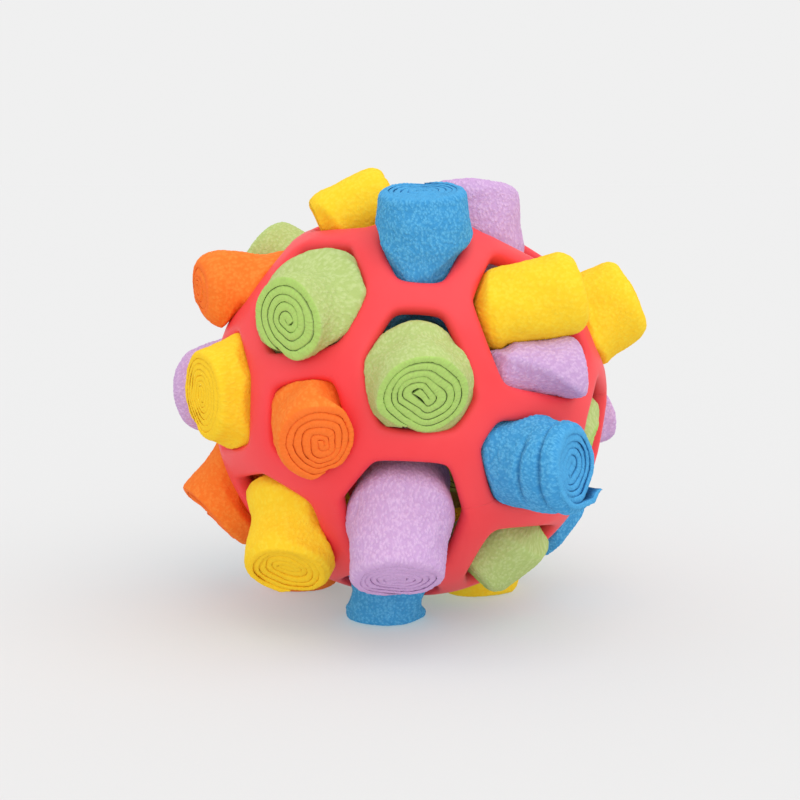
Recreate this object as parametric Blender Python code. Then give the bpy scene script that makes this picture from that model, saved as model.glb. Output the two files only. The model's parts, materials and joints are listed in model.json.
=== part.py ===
"""A snuffle ball for pets: a moulded rubber ball of struts, with a rolled strip of fleece in each hole.

Lengths are in metres. Places and directions are given as seen from the front: to the right (+X),
towards the front (-Y) and up (+Z).
"""

import math

import bmesh
import bpy
from mathutils import Euler, Matrix, Vector

MM = 0.001

# The rubber ball. Its struts follow the edges of a football's panels: 12 five-sided holes and 20 six-sided.
BALL_RADIUS = 60 * MM
WALL = 5.5 * MM
STRUT_WIDTH = 9.2 * MM
HOLE_CORNER_RADIUS = 5 * MM
EDGE_CHAMFER = 1.3 * MM
NECK_SHARE = 0.26
BALL_TURN_DEG = (-27, -1, -15.5)
CORNER_CUT_SHARE = 1 / 3
MERGE_DISTANCE = 0.01 * MM

# Where faces meet more sharply than this, the ball's edges are broken and a piece is shaded with an edge.
BROKEN_EDGE_DEG = 50
SHARP_EDGE_DEG = 40

# The rolls that the ball stands on reach this far below it, which sets the height of its middle.
FOOT_REACH = 3.3 * MM
STAND_HEIGHT = BALL_RADIUS + FOOT_REACH

# The fleece: one layer of a strip, the pitch from a layer to the next, how close to a roll's middle the
# strip starts in shares of a layer, the room that a roll leaves and the least gap between its turns.
LAYER = 1.85 * MM
LAYER_PITCH = 2.85 * MM
CORE_SHARE = 0.7
CLEARANCE = 0.36 * MM
LEAST_GAP = 0.4 * MM
OUTER_TURN_STEPS = 10
INNER_TURN_STEPS = 5

# A roll's inner end lies this far from the ball's middle, where it is drawn in between its neighbours.
INNER_END = 40 * MM
INNER_SHARE = 0.79
INNER_ROOM_SHARE = 0.9
MOUTH_RISE = 0.6 * MM
MOUTH_ROOM_SHARE = 0.97
STRAIGHT_LEAN_DEG = 27
LEAST_LEAN = 0.5 * MM

# Past the mouth a squeezed roll swells. A roll with a mouth draws in again at its outer end.
SWELL_PLACE_SHARE = 0.45
OUTER_END_SHARE = 0.89

RUBBER = (0.93, 0.09, 0.10)
BLUE = (0.05, 0.33, 0.72)
GREEN = (0.44, 0.70, 0.22)
YELLOW = (1.00, 0.63, 0.03)
ORANGE = (1.00, 0.21, 0.03)
LILAC = (0.60, 0.35, 0.76)

# The rolls stretch the rubber. Each joint of three struts that is pulled out of its even place lies here
# instead, in shares of the ball's radius: right, front, up.
PULLED_JOINT_SHARES = (
    (0.21, 0.79, 0.58),
    (-0.29, 0.91, 0.31),
    (0.24, 0.97, -0.09),
    (0.38, 0.92, 0.12),
    (-0.54, 0.18, 0.82),
    (-0.71, 0.68, -0.19),
    (-0.91, 0.29, -0.29),
    (-0.40, 0.86, -0.33),
    (-0.31, 0.63, -0.71),
    (0.33, 0.84, -0.42),
    (0.20, 0.57, -0.80),
    (0.81, 0.58, 0.00),
    (0.68, 0.56, -0.49),
    (0.34, 0.43, 0.83),
)

GROUND_SHARE = -STAND_HEIGHT / BALL_RADIUS
DOWN = (0, 0, -1)

# Each roll: name, colour, its radius and the middle of its outer end (right, front, up), both in shares of
# the ball's radius, and the direction that this end faces.
STANDING_ROLL_SHARES = (
    ("roll_blue_top", BLUE, 0.217, (0.065, 0.57, 1.06), (0.00, 0.10, 0.99)),
    ("roll_lilac_top_right", LILAC, 0.197, (0.36, 0.00, 1.06), (0.15, -0.10, 0.95)),
    ("roll_yellow_right", YELLOW, 0.23, (1.12, -0.02, 0.47), (0.90, -0.05, 0.36)),
    ("roll_green_centre", GREEN, 0.223, (0.06, 1.10, 0.18), (0.13, 0.86, -0.49)),
    ("roll_blue_right", BLUE, 0.233, (0.75, 0.95, -0.15), (0.90, 0.42, 0.11)),
    ("roll_lilac_front", LILAC, 0.26, (-0.05, 1.00, -0.68), (0.03, 0.46, -0.89)),
    ("roll_yellow_front_left", YELLOW, 0.233, (-0.555, 0.70, -0.70), (0.05, 0.77, -0.64)),
    ("roll_orange_centre", ORANGE, 0.22, (-0.42, 1.01, -0.04), (0.05, 0.95, -0.32)),
    ("roll_yellow_left", YELLOW, 0.262, (-0.97, 0.50, 0.08), (-0.86, 0.50, -0.08)),
    ("roll_green_left", GREEN, 0.22, (-0.565, 0.84, 0.48), (-0.56, 0.77, -0.30)),
    ("roll_orange_top_left", ORANGE, 0.228, (-1.02, 0.13, 0.55), (-0.93, 0.24, -0.27)),
    ("roll_green_back_left", GREEN, 0.183, (-0.74, -0.56, 0.755), (-0.75, -0.38, 0.55)),
    ("roll_orange_low_left", ORANGE, 0.208, (-1.03, 0.03, -0.56), (-0.67, 0.25, -0.70)),
    ("roll_lilac_left", LILAC, 0.253, (-1.17, -0.33, 0.04), (-0.92, -0.31, -0.15)),
    ("roll_green_right", GREEN, 0.2, (0.88, 0.32, -0.14), (0.93, 0.34, -0.15)),
    ("roll_blue_low_right", BLUE, 0.192, (0.80, -0.07, -0.67), (0.78, -0.06, -0.62)),
    ("roll_lilac_right", LILAC, 0.175, (1.04, -0.42, -0.13), (0.93, -0.37, -0.08)),
    ("roll_orange_top_back", ORANGE, 0.192, (0.12, -0.48, 0.98), (0.11, -0.44, 0.89)),
    ("roll_lilac_back_right", LILAC, 0.203, (0.70, -0.60, 0.58), (0.64, -0.60, 0.48)),
    ("roll_blue_back", BLUE, 0.207, (0.06, -1.10, 0.52), (0.10, -0.85, 0.52)),
    ("roll_lilac_back_low", LILAC, 0.217, (-0.08, -1.14, -0.32), (-0.20, -0.95, -0.26)),
    ("roll_yellow_back_left", YELLOW, 0.198, (-0.60, -0.98, 0.17), (-0.45, -0.88, 0.15)),
    ("roll_orange_back_right", ORANGE, 0.198, (0.60, -1.00, 0.04), (0.55, -0.80, 0.22)),
    ("roll_blue_back_low_left", BLUE, 0.217, (-0.75, -0.72, -0.50), (-0.60, -0.75, -0.28)),
    ("roll_green_back_right_low", GREEN, 0.212, (0.55, -0.76, -0.69), (0.45, -0.80, -0.40)),
    ("roll_blue_foot_front", BLUE, 0.247, (-0.11, 0.30, GROUND_SHARE), DOWN),
    ("roll_yellow_foot_right", YELLOW, 0.208, (0.42, -0.25, GROUND_SHARE), DOWN),
    ("roll_orange_foot_left", ORANGE, 0.192, (-0.56, -0.28, GROUND_SHARE), DOWN),
    ("roll_green_foot_back", GREEN, 0.2, (-0.12, -0.72, GROUND_SHARE), DOWN),
)

# A strip's loose end lies on this side of its roll, low and at the back. One has a loose front corner.
HIDDEN_SIDE = (0, -1, -1)
LOOSE_CORNER_SIDES = {"roll_blue_right": (0.4, 0.4, -1)}

# The rolls that lie across their hole: name, colour, radius and the middles of both ends, in the same shares.
LYING_ROLL_SHARES = (
    ("roll_yellow_top_left", YELLOW, 0.17, (-0.42, 0.08, 0.89), (-0.07, 0.05, 1.055)),
    ("roll_yellow_across", YELLOW, 0.175, (0.38, 0.60, 0.533), (0.80, 0.58, 0.64)),
    ("roll_lilac_across", LILAC, 0.127, (0.462, 0.662, 0.261), (0.80, 0.565, 0.293)),
    ("roll_green_across", GREEN, 0.162, (0.355, 0.42, -0.77), (0.59, 0.47, -0.56)),
)


def seen(right, front, up):
    """A vector given as seen from the front."""
    return Vector((right, -front, up))


def clear_scene():
    for obj in list(bpy.data.objects):
        bpy.data.objects.remove(obj, do_unlink=True)


def make_material(name, colour, roughness, sheen):
    material = bpy.data.materials.new(name)
    material.use_nodes = True
    shader = material.node_tree.nodes["Principled BSDF"]
    shader.inputs["Base Color"].default_value = (*colour, 1)
    shader.inputs["Roughness"].default_value = roughness
    shader.inputs["Metallic"].default_value = 0
    shader.inputs["Sheen Weight"].default_value = sheen
    material.diffuse_color = (*colour, 1)
    return material


def make_object(name, mesh_data, material, root):
    mesh = bpy.data.meshes.new(name)
    mesh_data.to_mesh(mesh)
    mesh_data.free()
    mesh.materials.append(material)
    mesh.shade_smooth()
    mesh.set_sharp_from_angle(angle=math.radians(SHARP_EDGE_DEG))
    obj = bpy.data.objects.new(name, mesh)
    bpy.context.scene.collection.objects.link(obj)
    obj.parent = root
    return obj


def ball_panels():
    """The corners of the ball's 32 panels as directions, each panel counter-clockwise from outside."""
    shape = bmesh.new()
    turn = Euler([math.radians(angle) for angle in BALL_TURN_DEG]).to_matrix().to_4x4()
    bmesh.ops.create_icosphere(shape, subdivisions=1, radius=1, matrix=turn)
    cut = 100 * CORNER_CUT_SHARE
    bmesh.ops.bevel(
        shape, geom=shape.verts[:], offset=cut, offset_type="PERCENT", segments=1, affect="VERTICES"
    )
    for corner in shape.verts:
        corner.co.normalize()
    for shares in PULLED_JOINT_SHARES:
        place = seen(*shares).normalized()
        corner = max(shape.verts, key=lambda vert: vert.co.dot(place))
        corner.co = place
    panels = [[vert.co.copy() for vert in face.verts] for face in shape.faces]
    shape.free()
    return panels


def hole_outline(corners):
    """The hole inside a panel, as directions: three points on each rounded corner."""
    sides = [a.cross(b).normalized() for a, b in zip(corners, corners[1:] + corners[:1])]
    sunk = math.sin(STRUT_WIDTH / 2 / BALL_RADIUS)
    points = []
    for side_in, side_out in zip(sides[-1:] + sides[:-1], sides):
        level = (side_in + side_out) * sunk / (1 + side_in.dot(side_out))
        across = side_in.cross(side_out).normalized()
        sharp = level + across * math.sqrt(1 - level.length_squared)
        half_turn = math.acos(side_in.dot(side_out)) / 2
        run = HOLE_CORNER_RADIUS / BALL_RADIUS * math.tan(half_turn)
        start = sharp - side_in.cross(sharp).normalized() * run
        end = sharp + side_out.cross(sharp).normalized() * run
        middle = (start + 2 * sharp + end) / 4
        points += [start.normalized(), middle.normalized(), end.normalized()]
    return points


def strut_lines(corners):
    """The middles of the struts round a panel, point for point with its hole's outline."""
    points = []
    for before, corner, after in zip(corners[-1:] + corners[:-1], corners, corners[1:] + corners[:1]):
        neck_in = corner.slerp(before, NECK_SHARE)
        neck_out = corner.slerp(after, NECK_SHARE)
        points += [neck_in, corner, neck_out]
    return points


def make_ball(panels, material, root):
    """The moulded ball: the skin of struts, thickened inwards, with its edges broken."""
    shape = bmesh.new()
    for corners in panels:
        outer = [shape.verts.new(point * BALL_RADIUS) for point in strut_lines(corners)]
        inner = [shape.verts.new(point * BALL_RADIUS) for point in hole_outline(corners)]
        for i in range(len(outer)):
            shape.faces.new((outer[i - 1], outer[i], inner[i], inner[i - 1]))
    bmesh.ops.remove_doubles(shape, verts=shape.verts[:], dist=MERGE_DISTANCE)
    ball = make_object("rubber_ball", shape, material, root)
    wall = ball.modifiers.new("Wall", "SOLIDIFY")
    wall.thickness = WALL
    wall.offset = -1
    edges = ball.modifiers.new("Broken edges", "BEVEL")
    edges.width = EDGE_CHAMFER
    edges.segments = 1
    edges.limit_method = "ANGLE"
    edges.angle_limit = math.radians(BROKEN_EDGE_DEG)
    return ball


class Hole:
    """One hole of the ball: its direction from the ball's middle, its walls and the room in it."""

    def __init__(self, corners):
        outline = hole_outline(corners)
        self.axis = sum(outline, Vector()).normalized()
        self.walls = [a.cross(b).normalized() for a, b in zip(outline, outline[1:] + outline[:1])]
        self.room = min(self.axis.dot(wall) for wall in self.walls) * BALL_RADIUS

    def across(self, vector):
        """The part of a vector that lies across the hole."""
        return vector - self.axis * vector.dot(self.axis)

    def run_to_wall(self, point, direction):
        """How far a point can move in a direction before it lies a clearance from a wall."""
        runs = []
        for wall in self.walls:
            closing = -wall.dot(direction)
            if closing > 0:
                runs.append((wall.dot(point) - CLEARANCE) / closing)
        return min(runs)


def strip_section(radius):
    """The rolled strip, cut across: out along one face of the strip and back along the other."""
    start = LAYER * CORE_SHARE
    turns = (radius - LAYER / 2 - start) / LAYER_PITCH
    whole_steps = math.floor((turns - 1) * INNER_TURN_STEPS)
    marks = [turns - i / OUTER_TURN_STEPS for i in range(OUTER_TURN_STEPS)]
    marks += [turns - 1 - i / INNER_TURN_STEPS for i in range(whole_steps + 1)]
    marks.reverse()
    outside, inside = [], []
    for mark in marks:
        toward = Vector((math.cos(math.tau * mark), math.sin(math.tau * mark), 0))
        middle = start + LAYER_PITCH * mark
        outside.append(toward * (middle + LAYER / 2))
        inside.append(toward * (middle - LAYER / 2))
    return outside, inside


def distance_to_line(point, a, b):
    along = b - a
    share = max(0, min(1, (point - a).dot(along) / along.length_squared))
    return (a + along * share - point).length


def least_gap(outside, inside):
    """The least gap between one turn of a rolled strip and the next."""
    gaps = []
    for i, point in enumerate(outside):
        ahead = inside[i + 2 :]
        gaps += [distance_to_line(point, a, b) for a, b in zip(ahead, ahead[1:])]
    for i, point in enumerate(inside):
        behind = outside[: max(0, i - 1)]
        gaps += [distance_to_line(point, a, b) for a, b in zip(behind, behind[1:])]
    return min(gaps)


class Station:
    """A place along a roll: its middle, the way it faces, its size there and how far it is drawn out."""

    def __init__(self, middle, facing, scale, lean=None, stretch=1):
        self.middle = middle
        self.facing = facing
        self.scale = scale
        self.lean = lean
        self.stretch = stretch

    def place(self, point, base_frame, base_facing):
        turned = base_facing.rotation_difference(self.facing) @ (base_frame @ (point * self.scale))
        if self.lean is not None:
            turned += self.lean * (turned.dot(self.lean) * (self.stretch - 1))
        return self.middle + turned


def loose_end_frame(facing, loose_end, side):
    """The frame of a section that faces this way, turned until its strip's loose end is on the side given."""
    frame = facing.to_track_quat("Z", "Y").to_matrix()
    aim = frame.inverted() @ side
    spin = math.atan2(aim.y, aim.x) - math.atan2(loose_end.y, loose_end.x)
    return frame @ Matrix.Rotation(spin, 3, "Z")


def standing_stations(hole, radius, end, facing):
    """A roll that stands in its hole: drawn in at its inner end, squeezed in the mouth, free outside."""
    upright = hole.axis.dot(facing)
    room = hole.room * MOUTH_ROOM_SHARE - CLEARANCE
    inner_scale = min(INNER_SHARE, INNER_ROOM_SHARE * room / radius)
    inner = Station(hole.axis * INNER_END, hole.axis, inner_scale)
    upright_enough = upright > math.cos(math.radians(STRAIGHT_LEAN_DEG))
    on_ground = facing == seen(*DOWN)
    if upright_enough and radius < room and not on_ground:
        return [inner, Station(end, facing, 1)]
    across = min(radius, room)
    lean = hole.across(facing).normalized()
    along = min(radius / upright, room)
    middle = hole.axis * (BALL_RADIUS + MOUTH_RISE)
    stations = [inner, Station(middle, hole.axis, across / radius, lean, along / across)]
    if radius > room:
        half_way = hole.axis.slerp(facing, SWELL_PLACE_SHARE)
        stations.append(Station(middle.lerp(end, SWELL_PLACE_SHARE), half_way, 1))
    stations.append(Station(end, facing, OUTER_END_SHARE))
    return stations


def lying_stations(start, end):
    facing = (end - start).normalized()
    return [Station(start, facing, 1), Station(end, facing, 1)]


def seat(hole, stations, section, base_frame):
    """Moves a standing roll sideways, towards the side that it leans to, until it rests on the wall there."""
    inner, outer = stations[:2]
    straight = len(stations) == 2
    side = hole.across(stations[-1].middle)
    if side.length < LEAST_LEAN:
        side = hole.across(Vector(DOWN))
    side.normalize()
    runs = []
    for point in section:
        low = inner.place(point, base_frame, inner.facing)
        high = outer.place(point, base_frame, inner.facing)
        for height in (BALL_RADIUS - WALL, BALL_RADIUS):
            share = (height - low.dot(hole.axis)) / (high - low).dot(hole.axis)
            carried = 1 if straight else share
            runs.append(hole.run_to_wall(low.lerp(high, share), side) / carried)
    shift = side * min(runs)
    outer.middle += shift
    if straight:
        inner.middle += shift
    if len(stations) == 4:
        stations[2].middle += shift * (1 - SWELL_PLACE_SHARE)


def make_roll(name, material, radius, stations, hole, root):
    """A strip rolled up and lofted through its stations. Its object's Z axis points out of its hole."""
    outside, inside = strip_section(radius)
    section = outside + inside[::-1]
    base_facing = stations[0].facing
    side = seen(*LOOSE_CORNER_SIDES.get(name, HIDDEN_SIDE))
    base_frame = loose_end_frame(base_facing, outside[-1], side)
    if base_facing == hole.axis:
        seat(hole, stations, section, base_frame)
    origin = hole.axis * BALL_RADIUS
    turn = hole.axis.to_track_quat("Z", "Y")
    shape = bmesh.new()
    rings = []
    for station in stations:
        places = [station.place(point, base_frame, base_facing) - origin for point in section]
        rings.append([shape.verts.new(turn.inverted() @ place) for place in places])
    for low, high in zip(rings, rings[1:]):
        for i in range(len(section)):
            shape.faces.new((low[i - 1], low[i], high[i], high[i - 1]))
    shape.faces.new(rings[0][::-1])
    shape.faces.new(rings[-1])
    roll = make_object(name, shape, material, root)
    roll.location = origin
    roll.rotation_euler = turn.to_euler()
    gap = least_gap(outside, inside) * min(station.scale for station in stations)
    if gap < LEAST_GAP:
        print(name, "turns lie", round(gap / MM, 3), "mm apart, under the least gap")
    return gap


def ground_and_centre(root):
    """Puts the middle of the part's underside at the world's origin."""
    bpy.context.view_layer.update()
    graph = bpy.context.evaluated_depsgraph_get()
    places = []
    for obj in root.children:
        evaluated = obj.evaluated_get(graph)
        places += [evaluated.matrix_world @ vert.co for vert in evaluated.data.vertices]
    across = [place.x for place in places]
    deep = [place.y for place in places]
    middle = Vector((min(across) + max(across), min(deep) + max(deep), 0)) / 2
    root.location = Vector((0, 0, STAND_HEIGHT)) - middle


def main():
    clear_scene()
    root = bpy.data.objects.new("snuffle_ball", None)
    bpy.context.scene.collection.objects.link(root)
    panels = ball_panels()
    holes = [Hole(corners) for corners in panels]
    make_ball(panels, make_material("rubber", RUBBER, 0.45, 0), root)
    fleece = {
        colour: make_material("fleece_" + name, colour, 0.95, 0.5)
        for name, colour in (
            ("blue", BLUE),
            ("green", GREEN),
            ("yellow", YELLOW),
            ("orange", ORANGE),
            ("lilac", LILAC),
        )
    }
    rolls = []
    for name, colour, radius_share, end_shares, facing in STANDING_ROLL_SHARES:
        radius = radius_share * BALL_RADIUS
        end = seen(*end_shares) * BALL_RADIUS
        hole = max(holes, key=lambda hole: hole.axis.dot(end))
        stations = standing_stations(hole, radius, end, seen(*facing).normalized())
        rolls.append((name, colour, radius, stations, hole))
    for name, colour, radius_share, start_shares, end_shares in LYING_ROLL_SHARES:
        radius = radius_share * BALL_RADIUS
        start = seen(*start_shares) * BALL_RADIUS
        end = seen(*end_shares) * BALL_RADIUS
        hole = max(holes, key=lambda hole: hole.axis.dot(start + end))
        rolls.append((name, colour, radius, lying_stations(start, end), hole))
    gaps = []
    for name, colour, radius, stations, hole in rolls:
        gaps.append(make_roll(name, fleece[colour], radius, stations, hole, root))
    print("least gap between the turns of a strip:", round(min(gaps) / MM, 3), "mm")
    ground_and_centre(root)


main()
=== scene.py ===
# %% [markdown]
# # A snuffle ball: a rubber lattice with a rolled strip of fleece in each hole
#
# The toy is a hollow ball moulded in red rubber, like a football that has lost its panels and kept its
# seams. Someone has rolled up strips of fleece and pushed one into each hole. We load the plain model that
# says where each piece is, and then dress it: the rubber gets soft edges, and each strip of cloth is really
# rolled up. Lengths are in metres, +Z is up, and the front of the toy faces -Y.

# %% Load the plain model
import json
import math
import random
from collections import namedtuple
from dataclasses import dataclass

import bmesh
import bpy
import numpy as np
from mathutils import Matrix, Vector
from mathutils.bvhtree import BVHTree


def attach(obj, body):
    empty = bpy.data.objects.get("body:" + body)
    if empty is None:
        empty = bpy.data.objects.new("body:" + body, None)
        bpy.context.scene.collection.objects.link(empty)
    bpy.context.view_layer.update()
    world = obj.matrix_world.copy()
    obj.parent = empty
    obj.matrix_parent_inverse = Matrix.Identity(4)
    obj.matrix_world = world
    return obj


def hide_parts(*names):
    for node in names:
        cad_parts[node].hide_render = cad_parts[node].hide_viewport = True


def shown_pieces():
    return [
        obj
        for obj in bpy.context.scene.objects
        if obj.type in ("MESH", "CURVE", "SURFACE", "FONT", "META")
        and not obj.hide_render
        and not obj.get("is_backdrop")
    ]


MM = 0.001
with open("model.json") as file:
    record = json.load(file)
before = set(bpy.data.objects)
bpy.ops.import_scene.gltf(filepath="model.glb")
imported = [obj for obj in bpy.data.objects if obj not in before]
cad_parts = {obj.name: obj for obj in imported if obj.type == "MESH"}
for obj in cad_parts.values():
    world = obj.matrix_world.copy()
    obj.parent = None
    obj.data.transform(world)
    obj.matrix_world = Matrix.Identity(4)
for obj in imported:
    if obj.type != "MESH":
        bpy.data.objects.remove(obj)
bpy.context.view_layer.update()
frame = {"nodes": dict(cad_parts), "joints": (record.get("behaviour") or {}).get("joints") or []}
axes = {joint["child"]: Vector(joint["axis"]).normalized() for joint in frame["joints"]}

# %% [markdown]
# Everything on this toy is arranged round the ball's middle, so we find it first. The points in the middle
# of the struts all lie on one sphere. A sphere through many points is a small sum of least squares, which
# is more exact than the middle of the ball's box, because a hole may lie where the box would touch it.

# %% Find the ball's middle and radius
SKIN_DEPTH = 0.3 * MM
FIT_ROUNDS = 4


def fit_sphere(points):
    """The middle and the radius of the sphere that the outermost points lie on."""
    middle = points.mean(axis=0)
    for _ in range(FIT_ROUNDS):
        reach = np.linalg.norm(points - middle, axis=1)
        skin = points[reach > reach.max() - SKIN_DEPTH]
        terms = np.column_stack((2 * skin, np.ones(len(skin))))
        answer = np.linalg.lstsq(terms, (skin**2).sum(axis=1), rcond=None)[0]
        middle = answer[:3]
    return Vector(middle), math.sqrt(answer[3] + middle @ middle)


def points_of(obj):
    """The places of a mesh's points, as rows of x, y and z."""
    places = np.empty(len(obj.data.vertices) * 3)
    obj.data.vertices.foreach_get("co", places)
    return places.reshape(-1, 3)


ball_middle, ball_radius = fit_sphere(points_of(frame["nodes"]["rubber_ball"]))
print("ball's middle (mm):", [round(value / MM, 2) for value in ball_middle])
print("ball's radius (mm):", round(ball_radius / MM, 2))

# %% [markdown]
# The camera comes early, so that every piece can be judged from the photograph's side. The toy was seen
# from about half a metre, a little from above. A perspective camera needs the lens and the place; the small
# shift sets the toy in the frame as the photographer did, without turning the camera.

# %% Place the camera
CAMERA_DISTANCE = 0.48
CAMERA_RAISE_DEG = 8
SENSOR_WIDTH_MM = 36
FRAME_PIXELS = 800
LENS_PIXELS = 1570.9
MIDDLE_PIXEL = (410, 399)
CLIP_START = 10 * MM

raise_angle = math.radians(CAMERA_RAISE_DEG)
bpy.ops.object.camera_add(
    location=ball_middle + Vector((0, -math.cos(raise_angle), math.sin(raise_angle))) * CAMERA_DISTANCE,
    rotation=(math.pi / 2 - raise_angle, 0, 0),
)
camera = bpy.context.object
camera.data.sensor_width = SENSOR_WIDTH_MM
camera.data.lens = SENSOR_WIDTH_MM * LENS_PIXELS / FRAME_PIXELS
camera.data.shift_x = (FRAME_PIXELS / 2 - MIDDLE_PIXEL[0]) / FRAME_PIXELS
camera.data.shift_y = (MIDDLE_PIXEL[1] - FRAME_PIXELS / 2) / FRAME_PIXELS
camera.data.clip_start = CLIP_START
bpy.context.scene.camera = camera
print("lens:", round(camera.data.lens, 1), "mm")

# %% [markdown]
# The studio is as plain as it can be: a pale floor that runs on to the horizon, under a sky of just its
# colour, so that no line shows where they meet. The floor glows a little, as a light table does. That keeps
# the shadow soft and fills the undersides. It glows less in red, which evens out the red light that the toy
# throws on it. The sky lights the toy from all round, a wide sun adds soft light from above on the right,
# and a weak second one from the front opens the shadows between the rolls.

# %% Build the studio
FLOOR_SIZE = 60
FLOOR_ALBEDO = (0.56, 0.475, 0.465, 1)
FLOOR_GLOW = (0.21, 0.31, 0.322, 1)
SKY_STRENGTH = 0.87
SUN_STRENGTH = 0.95
SUN_WIDTH_DEG = 70
SUN_TILT_DEG = (16, 20, 0)
FILL_STRENGTH = 0.55
FILL_WIDTH_DEG = 60
FILL_TILT_DEG = (82, 4, 0)


def add_sun(name, tilt_deg, width_deg, strength):
    """A wide sun, which lights every place alike, with soft shadows."""
    bpy.ops.object.light_add(type="SUN", rotation=[math.radians(angle) for angle in tilt_deg])
    sun = bpy.context.object
    sun.name = name
    sun.data.energy = strength
    sun.data.angle = math.radians(width_deg)


def feed(socket, value):
    """Sets a node's input, or links it when the value is another node's socket."""
    if isinstance(value, bpy.types.NodeSocket):
        socket.id_data.links.new(value, socket)
    else:
        socket.default_value = value


def set_inputs(node, values):
    """Feeds the inputs of a shader node by their names or numbers."""
    for key, value in values.items():
        feed(node.inputs[key], value)


def new_material(name):
    """A material with only a Principled shader, and that shader."""
    material = bpy.data.materials.new(name)
    material.use_nodes = True
    return material, material.node_tree.nodes["Principled BSDF"]


bpy.ops.mesh.primitive_plane_add(size=FLOOR_SIZE)
floor = bpy.context.object
floor.name = "studio_floor"
floor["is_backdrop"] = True

paper, paper_shader = new_material("studio_paper")
set_inputs(paper_shader, {"Base Color": FLOOR_ALBEDO, "Roughness": 1, "Specular IOR Level": 0})
set_inputs(paper_shader, {"Emission Color": FLOOR_GLOW, "Emission Strength": 1})
floor.data.materials.append(paper)

world = bpy.data.worlds.new("studio_sky")
world.use_nodes = True
set_inputs(world.node_tree.nodes["Background"], {"Color": (1, 1, 1, 1), "Strength": SKY_STRENGTH})
bpy.context.scene.world = world
bpy.context.scene.view_settings.view_transform = "Standard"

add_sun("broad_sun", SUN_TILT_DEG, SUN_WIDTH_DEG, SUN_STRENGTH)
add_sun("front_fill", FILL_TILT_DEG, FILL_WIDTH_DEG, FILL_STRENGTH)

# %% [markdown]
# The rubber ball of the plain model has the right struts and holes, but its edges are cut like a faceted
# stone. Moulded rubber has soft lips. We copy the ball's mesh, merge its loose triangles into one skin,
# turn them back into four-sided faces and let a Subdivision Surface round them. The holes stay where they
# are.

# %% Make the rubber lattice
MERGE_DISTANCE = 0.01 * MM
RUBBER_LEVELS = 2
FLAT_JOIN = math.radians(40)


def make_active(piece):
    """Selects one piece alone, so that operators work on it."""
    bpy.ops.object.select_all(action="DESELECT")
    piece.select_set(True)
    bpy.context.view_layer.objects.active = piece


def apply_modifiers(piece):
    """Applies every modifier of a piece, in order."""
    make_active(piece)
    for modifier in list(piece.modifiers):
        bpy.ops.object.modifier_apply(modifier=modifier.name)


lattice = bpy.data.objects.new("rubber_lattice", frame["nodes"]["rubber_ball"].data.copy())
bpy.context.scene.collection.objects.link(lattice)
make_active(lattice)
bpy.ops.object.mode_set(mode="EDIT")
bpy.ops.mesh.select_all(action="SELECT")
bpy.ops.mesh.remove_doubles(threshold=MERGE_DISTANCE)
bpy.ops.mesh.tris_convert_to_quads(face_threshold=FLAT_JOIN, shape_threshold=FLAT_JOIN)
bpy.ops.object.mode_set(mode="OBJECT")
lattice.data.materials.clear()
soften = lattice.modifiers.new("Soft lips", "SUBSURF")
soften.levels = RUBBER_LEVELS
soften.render_levels = RUBBER_LEVELS
apply_modifiers(lattice)
bpy.ops.object.shade_smooth()
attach(lattice, "ball")
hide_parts("rubber_ball")
print("rubber faces:", len(lattice.data.polygons))

# %% [markdown]
# A look is worked out by shader nodes, which are wired like a sum: noise, times a size, into a colour.
# These helpers add a node, wire what goes into it and give back the socket of its result.

# %% Helpers for materials
VECTOR = {"kind": "VectorMath", "result": "Vector"}


def add_node(tree, kind, inputs, **settings):
    """Adds a shader node with its settings, and feeds its inputs."""
    node = tree.nodes.new("ShaderNode" + kind)
    for key, value in settings.items():
        setattr(node, key, value)
    set_inputs(node, inputs)
    return node


def colour_mix(tree, factor, first, second):
    """Mixes two colours by a factor."""
    mix = add_node(tree, "Mix", {"Factor": factor}, data_type="RGBA")
    for colour, key in ((first, "A"), (second, "B")):
        feed(next(s for s in mix.inputs if s.name == key and s.type == "RGBA"), colour)
    return next(s for s in mix.outputs if s.type == "RGBA")


def remap(tree, value, low, high, to_low=0, to_high=1):
    """Maps a value's range to another, clamped."""
    ends = {"From Min": low, "From Max": high, "To Min": to_low, "To Max": to_high}
    return add_node(tree, "MapRange", {"Value": value, **ends}).outputs["Result"]


def calculate(tree, operation, *values, kind="Math", result="Value"):
    """Works out one step of a sum."""
    return add_node(tree, kind, dict(enumerate(values)), operation=operation).outputs[result]


# %% [markdown]
# Red rubber like this is matt but not dull: it was moulded against finely etched steel, so its gloss is
# broad and soft. The colour is a little uneven. The grain is a bump far smaller than a millimetre. A thin
# line shows in places where the two halves of the mould met.

# %% Rubber
RUBBER_RED = (0.93, 0.052, 0.062, 1)
RUBBER_PALE = (0.95, 0.066, 0.077, 1)
RUBBER_TONES = (0.35, 0.65)
RUBBER_ROUGHNESS = (0.3, 0.7, 0.4, 0.52)
RUBBER_CLOUD = 24 * MM
RUBBER_GRAIN = 0.4 * MM
RUBBER_BUMP = {"Distance": 0.03 * MM, "Strength": 0.6}
RUBBER_LOOK = {
    "Specular IOR Level": 0.3, "Subsurface Weight": 0.05, "Subsurface Radius": (1, 0.25, 0.2),
    "Subsurface Scale": 2 * MM,
}
PARTING_NORMAL = (-0.08, 0.84, 0.54)
PARTING_WIDTH = 0.25 * MM
PARTING_SHOWN = (0.45, 0.55)
PARTING_BUMP = {"Distance": 0.12 * MM, "Strength": 1}


def camera_seen(right, up, front):
    """A direction given as the photograph shows it: to the right, up and towards the camera."""
    return Vector((right, up, front)) @ camera.matrix_world.to_3x3().transposed()


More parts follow.
